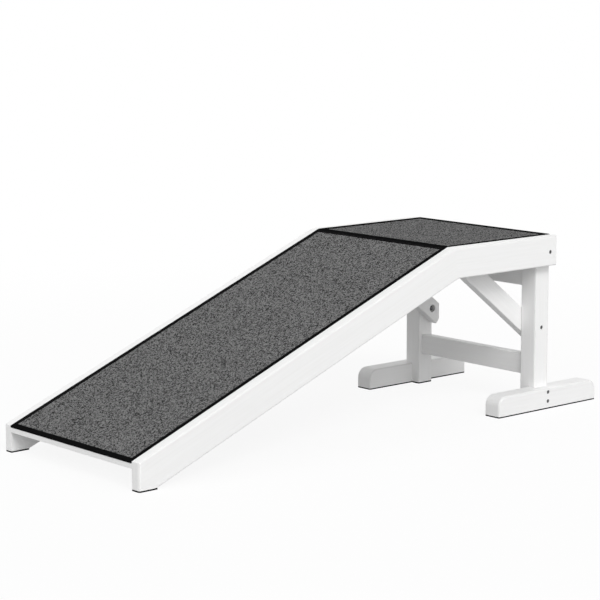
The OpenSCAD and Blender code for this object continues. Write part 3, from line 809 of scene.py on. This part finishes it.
# %% Stitches along the seam
def seam_stitches():
    """A tree that sews along a closed line of edges."""
    tree, add, given = shape_tree("seam_stitches", {"Pitch": "Float", "Thread": "Float",
                                  "Stitch": "Float", "Up": "Vector"})
    seam = add("GeometryNodeMeshToCurve", {"Mesh": given["Geometry"]})
    stops = add("GeometryNodeResampleCurve", {"Curve": seam, "Length": given["Pitch"]}, mode="LENGTH")
    thread = add("GeometryNodeMeshUVSphere", {"Segments": 6, "Rings": 5, "Radius": 0.5})
    size = xyz(add, X=given["Stitch"], Y=given["Thread"], Z=given["Thread"])
    upright = add("FunctionNodeAlignRotationToVector", {"Vector": given["Up"]}, axis="Z")
    tangent = add("GeometryNodeInputTangent")
    turned = add("FunctionNodeAlignRotationToVector", {"Rotation": upright, "Vector": tangent}, axis="X",
                 pivot_axis="Z")
    sewn = add("GeometryNodeInstanceOnPoints", {"Points": stops, "Instance": thread, "Rotation": turned,
               "Scale": size})
    smooth = add("GeometryNodeSetShadeSmooth", {"Geometry": sewn, "Shade Smooth": True})
    end_tree(add, given, smooth)
    return tree


THREAD = 0.5 * MM
STITCH = 2.7 * MM
SEAM_DEPTH = -0.93 * MM
THREAD_COLOUR = (0.016, 0.016, 0.017, 1)
TWIST = 0.35 * MM
TWIST_HEIGHT = 0.05 * MM


def thread_recipe(add):
    """Black polyester thread: a fine twist along it and a slight gloss."""
    twist = noise(add, place_on(add), TWIST, detail=1.0)
    colour = blended(add, twist, THREAD_COLOUR, TAPE_BLACK)
    return add("ShaderNodeBsdfPrincipled", {"Base Color": colour, "Roughness": 0.55,
               "Specular IOR Level": 0.25, "Normal": relief(add, twist, TWIST_HEIGHT)})


thread_finish = finish_of("black_thread", thread_recipe)
sewing = seam_stitches()


def sewn_seam(name, point, ends):
    """The stitches round one carpet."""
    low, high = ends[0][0] + SEAM_IN, ends[1][0] - SEAM_IN
    side = HALF_WIDTH - SEAM_IN
    corners = [point(u, v, SEAM_DEPTH) for u, v in ((low, -side), (high, -side), (high, side), (low, side))]
    line = bpy.data.meshes.new(name + "_line")
    line.from_pydata(corners, [(0, 1), (1, 2), (2, 3), (3, 0)], [])
    up = (corners[1] - corners[0]).cross(corners[2] - corners[1]).normalized()
    mesh = grown(name, sewing, {"Pitch": STITCH_PITCH, "Thread": THREAD, "Stitch": STITCH, "Up": up,
                 "Finish": thread_finish}, line)
    print(name, "faces:", len(mesh.polygons))
    return shown(name, mesh)


ramp_seam = sewn_seam("ramp_stitches", on_slope, ramp_ends)
platform_seam = sewn_seam("platform_stitches", on_platform, platform_ends)

# %% [markdown]
# The bolts and screws are steel with a dark zinc plate. Each is turned about its own axis, like the
# real one: rings of points from the bottom of the hexagon socket up over the chamfered head, down the
# shank and along the thread, whose ridge climbs as it goes round. The head's top is at zero and the
# axis points outwards, so the same part fits every hole. The nuts and washers on the inner side are
# plain oiled steel, which is nearly black in the photograph.

# %% Turned and hexagonal shapes
RING = 36
THREAD_STEPS = 6
THREAD_DEPTH = 0.54
CHAMFER = math.radians(30)
RIM = 0.3 * MM
FILLET = 0.1 * MM
SOCKET_LIP = 0.15 * MM
ring_angles = np.linspace(0, 2 * math.pi, RING, endpoint=False)


def circle(radius, height):
    """A ring of points, with one radius and one height."""
    return [(radius * math.cos(a), radius * math.sin(a), height) for a in ring_angles]


def hexagon(across_flats, height, cone=None):
    """A ring on a hexagon. With a cone's radius, the corners drop as a chamfer cuts them."""
    points = []
    for a in ring_angles:
        radius = across_flats / 2 / math.cos((a + math.pi / 6) % (math.pi / 3) - math.pi / 6)
        drop = 0 if cone is None else max(0, radius - cone) * math.tan(CHAMFER)
        points.append((radius * math.cos(a), radius * math.sin(a), height - drop))
    return points


def threaded(radius, top, bottom, pitch):
    """Rings along a thread, whose depth is a share of its pitch: the ridge climbs one pitch a turn."""
    steps = max(2, round((top - bottom) / pitch * THREAD_STEPS))
    rings = []
    for height in np.linspace(top, bottom, steps):
        phase = [(height / pitch - a / (2 * math.pi)) % 1 for a in ring_angles]
        depth = [THREAD_DEPTH * pitch * abs(2 * p - 1) for p in phase]
        rings.append([((radius - d) * math.cos(a), (radius - d) * math.sin(a), height)
                      for a, d in zip(ring_angles, depth)])
    return rings


def socket_screw(name, length, head, head_height, shank, socket, socket_depth, thread, pitch, cone=False):
    """A screw with a hexagon socket. A cone under the head makes it countersunk. Its small steps are
    shares of the head's rounded rim."""
    under = shank / 2 + FILLET if cone else head / 2 - RIM / 2
    rings = [hexagon(socket, -socket_depth), hexagon(socket, -SOCKET_LIP), hexagon(socket + RIM, 0),
             circle(head / 2 - 1.6 * RIM, 0), circle(head / 2 - 0.5 * RIM, -0.25 * RIM),
             circle(head / 2, -RIM), circle(head / 2, -2 * RIM if cone else RIM - head_height),
             circle(under, -head_height), circle(shank / 2 + FILLET, -head_height - 0.01 * MM),
             circle(shank / 2, -head_height - RIM)]
    rings += threaded(shank / 2, thread - length, RIM - length, pitch)
    rings.append(circle(shank / 2 - 2.4 * RIM, -length))
    tips = ((0, 0, -socket_depth - socket / 4), (0, 0, -length))
    return lofted(name, rings, tips)


NUT_CONE = 0.97
NUT_FACE = 0.98
NUT_DROP = 0.05 * MM
BORE_EDGE = 0.4 * MM


def hex_nut(name, across_flats, height, bore):
    """A hexagon nut, chamfered on both sides."""
    cone = across_flats / 2 * NUT_CONE
    top = [circle(cone * NUT_FACE, 0), hexagon(across_flats, -NUT_DROP, cone)]
    bottom = [[(x, y, -height - z) for x, y, z in ring] for ring in reversed(top)]
    rings = [circle(bore / 2, -BORE_EDGE), circle(bore / 2 + BORE_EDGE, 0)] + top + bottom
    rings += [circle(bore / 2 + BORE_EDGE, -height), circle(bore / 2, BORE_EDGE - height)]
    return lofted(name, rings)


def washer(name, width, height, bore):
    """A flat washer with broken edges."""
    edge = 0.15 * MM
    rings = [circle(bore / 2, -edge), circle(bore / 2 + edge, 0), circle(width / 2 - edge, 0),
             circle(width / 2, -edge), circle(width / 2, edge - height),
             circle(width / 2 - edge, -height), circle(bore / 2 + edge, -height),
             circle(bore / 2, edge - height)]
    return lofted(name, rings)


# %% Zinc plate, and the darker steel of the nuts
ZINC = (0.170, 0.172, 0.175, 1)
ZINC_DULL = (0.100, 0.101, 0.103, 1)
OILED = (0.075, 0.075, 0.078, 1)
OILED_DULL = (0.035, 0.035, 0.036, 1)
METAL_ROUGHNESS = (0.30, 0.48)
DULL_RANGE = (0.35, 0.7)
CLOUD = 2.0 * MM
TURNING_MARK = 0.25 * MM
MARK_HEIGHT = 0.008 * MM


def plated(name, bright, dull):
    """Plated steel: a soft metal with duller clouds and fine turning marks."""
    def recipe(add):
        cloud = noise(add, place_on(add), CLOUD)
        marks = noise(add, place_on(add), TURNING_MARK, detail=1.0)
        colour = blended(add, span(add, cloud, DULL_RANGE), bright, dull)
        return add("ShaderNodeBsdfPrincipled", {"Base Color": colour, "Metallic": 1.0,
                   "Roughness": span(add, cloud, WIDE_MIDDLE, METAL_ROUGHNESS),
                   "Normal": relief(add, marks, MARK_HEIGHT)})

    return finish_of(name, recipe)


zinc = plated("zinc_plate", ZINC, ZINC_DULL)
dark_steel = plated("dark_steel", OILED, OILED_DULL)

# %% [markdown]
# Every fastener on the left has a twin on the right. The tree takes one turned shape, sets it on a
# short row of points with its axis outwards, gives each copy a random twist about that axis with a
# fixed seed, because no fitter lines the sockets up, and turns the whole row half round for the
# other side. A turn is used and not a mirror, so that the threads stay right-handed.

# %% Hardware on both sides
def both_sides():
    """A tree that sets a fastener on a row of points and on the same row of the other side."""
    tree, add, given = shape_tree("both_sides", {"First": "Vector", "Rise": "Float", "Rows": "Int",
                                  "Turn": "Vector", "Seed": "Int"})
    row = add("GeometryNodeMeshLine", {"Count": given["Rows"], "Start Location": given["First"],
              "Offset": xyz(add, Z=given["Rise"])}, mode="OFFSET")
    turn = add("FunctionNodeEulerToRotation", {0: given["Turn"]})
    set_there = add("GeometryNodeInstanceOnPoints", {"Points": row, "Instance": given["Geometry"],
                    "Rotation": turn})
    twist = add("FunctionNodeRandomValue", {2: 0.0, 3: 2 * math.pi, "Seed": given["Seed"]},
                data_type="FLOAT").outputs[1]
    about = add("FunctionNodeEulerToRotation", {0: xyz(add, Z=twist)})
    twisted = add("GeometryNodeRotateInstances", {"Instances": set_there, "Rotation": about,
                  "Local Space": True})
    across = add("ShaderNodeSeparateXYZ", {0: given["First"]}).outputs[0]
    shift = xyz(add, X=calculated(add, "MULTIPLY", across, 2.0))
    other = add("GeometryNodeTransform", {"Geometry": twisted, "Translation": shift,
                "Rotation": (0, 0, math.pi)})
    end_tree(add, given, joined(tree, add, other, twisted))
    return tree


def solids_on_left(node):
    """The boxes of a node's separate solids on the +Y side, lowest first."""
    shape = bmesh.new()
    shape.from_mesh(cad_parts[node].data)
    bmesh.ops.remove_doubles(shape, verts=shape.verts, dist=MERGE)
    left, boxes = set(shape.verts), []
    while left:
        found, waiting = [], [left.pop()]
        while waiting:
            vert = waiting.pop()
            found.append(tuple(vert.co))
            linked = {edge.other_vert(vert) for edge in vert.link_edges} & left
            left -= linked
            waiting += linked
        corners = np.array(found)
        if corners[:, 1].mean() > 0:
            boxes.append((Vector(corners.min(0)), Vector(corners.max(0))))
    shape.free()
    return sorted(boxes, key=lambda box: box[0].z)


OUTWARDS = (-math.pi / 2, 0, 0)
INWARDS = (math.pi / 2, 0, 0)
setting = both_sides()


def fitted(name, node, make, seed, turn=OUTWARDS, finish=zinc):
    """Fasteners in place of a CAD node. make(length, width) returns the turned shape."""
    boxes = solids_on_left(node)
    low, high = boxes[0]
    centre = (low + high) / 2
    first = Vector((centre.x, high.y if turn == OUTWARDS else low.y, centre.z))
    rise = (boxes[-1][0].z - low.z) / max(1, len(boxes) - 1)
    shape = make(high.y - low.y, high.x - low.x)
    mesh = grown(name, setting, {"First": first, "Rise": rise, "Rows": len(boxes), "Turn": turn,
                 "Seed": seed, "Finish": finish}, shape)
    print(f"{name}: {2 * len(boxes)} of {(high.y - low.y) / MM:.1f} mm, faces {len(mesh.polygons)}")
    shown(name, mesh, [node])


def cap_bolt(length, width):
    """M5 bolt with a small socket head."""
    return socket_screw("bolt", length, head=width, head_height=5 * MM, shank=5 * MM, socket=4 * MM,
                        socket_depth=2.5 * MM, thread=16 * MM, pitch=0.8 * MM)


def wood_screw(length, width):
    """Countersunk wood screw with a socket."""
    return socket_screw("screw", length, head=width, head_height=3.4 * MM, shank=4 * MM, socket=2.5 * MM,
                        socket_depth=1.8 * MM, thread=24 * MM, pitch=1.8 * MM, cone=True)


def bolt_nut(length, width):
    """M5 nut."""
    return hex_nut("nut", across_flats=8 * MM, height=length, bore=5 * MM)


def bolt_washer(length, width):
    """Washer of an M5 bolt."""
    return washer("disc", width, height=length, bore=5.3 * MM)


fitted("rail_bolt_set", "rail_bolts", cap_bolt, seed=3)
fitted("brace_bolt_set", "brace_bolts", cap_bolt, seed=4)
fitted("foot_screw_set", "foot_screws", wood_screw, seed=5)
fitted("nut_set", "brace_nuts", bolt_nut, seed=6, turn=INWARDS, finish=dark_steel)
fitted("washer_set", "brace_washers", bolt_washer, seed=7, turn=INWARDS, finish=dark_steel)

# %% [markdown]
# Thin black foam pads are glued under the rails, legs and feet. They are cut from sheet foam: the
# faces are full of tiny open cells, and a knife leaves the edges almost square.

# %% Foam pads
FOAM = (0.0075, 0.0075, 0.0078, 1)
# Painted shade: the darker colour at the bottoms of the foam's pits.
FOAM_PIT_SHADE = (0.0030, 0.0030, 0.0031, 1)
FOAM_CELL = 0.6 * MM
PIT_RANGE = (0.15, 0.55)
PIT_DEPTH = 0.12 * MM
PAD_EDGE = 0.2 * MM


def foam_recipe(add):
    """Black cellular foam: small pits, with painted shade in their bottoms."""
    cells = add("ShaderNodeTexVoronoi", {"Vector": place_on(add), "Scale": 1 / FOAM_CELL})
    pits = span(add, cells.outputs["Distance"], PIT_RANGE)
    # Painted shade: the pits' bottoms get the darker colour.
    colour = blended(add, pits, FOAM_PIT_SHADE, FOAM)
    return add("ShaderNodeBsdfPrincipled", {"Base Color": colour, "Roughness": 0.9,
               "Specular IOR Level": 0.0, "Normal": relief(add, pits, PIT_DEPTH)})


foam = finish_of("black_foam", foam_recipe)
PADS = [side + "_" + part + "_pad" for side in ("left", "right") for part in ("rail", "foot", "leg")]
for node in PADS:
    mesh = merged(node)
    mesh.materials.append(foam)
    pad = shown("foam_" + node, mesh, [node])
    soften(pad, PAD_EDGE, segments=3)
print("pads:", len(PADS))

# %% [markdown]
# What is left is hidden inside the timber: beech dowels, the deck's screws under the carpets and the
# threaded inserts behind the rail bolts. Their CAD shapes stay as they are and get a real finish,
# so that a cut-away or an exploded view of the ramp looks right too.

# %% Hidden hardware and dowels
BEECH_LIGHT = (0.60, 0.42, 0.26, 1)
BEECH_DARK = (0.47, 0.30, 0.17, 1)
FLECK = 0.9 * MM
FLECK_HEIGHT = 0.05 * MM


def beech_recipe(add):
    """Fluted beech: warm brown with short darker flecks along the dowel."""
    fleck = noise(add, along_grain(add, ACROSS), FLECK)
    colour = blended(add, span(add, fleck, MIDDLE), BEECH_LIGHT, BEECH_DARK)
    return add("ShaderNodeBsdfPrincipled", {"Base Color": colour, "Roughness": 0.7,
               "Normal": relief(add, fleck, FLECK_HEIGHT)})


beech = finish_of("beech", beech_recipe)
for node in ("ramp_deck_screws", "platform_deck_screws", "rail_bolt_inserts"):
    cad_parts[node].data.materials[0] = zinc
for node in ("batten_dowels", "crossbar_dowels", "stretcher_dowels", "apron_dowels"):
    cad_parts[node].data.materials[0] = beech
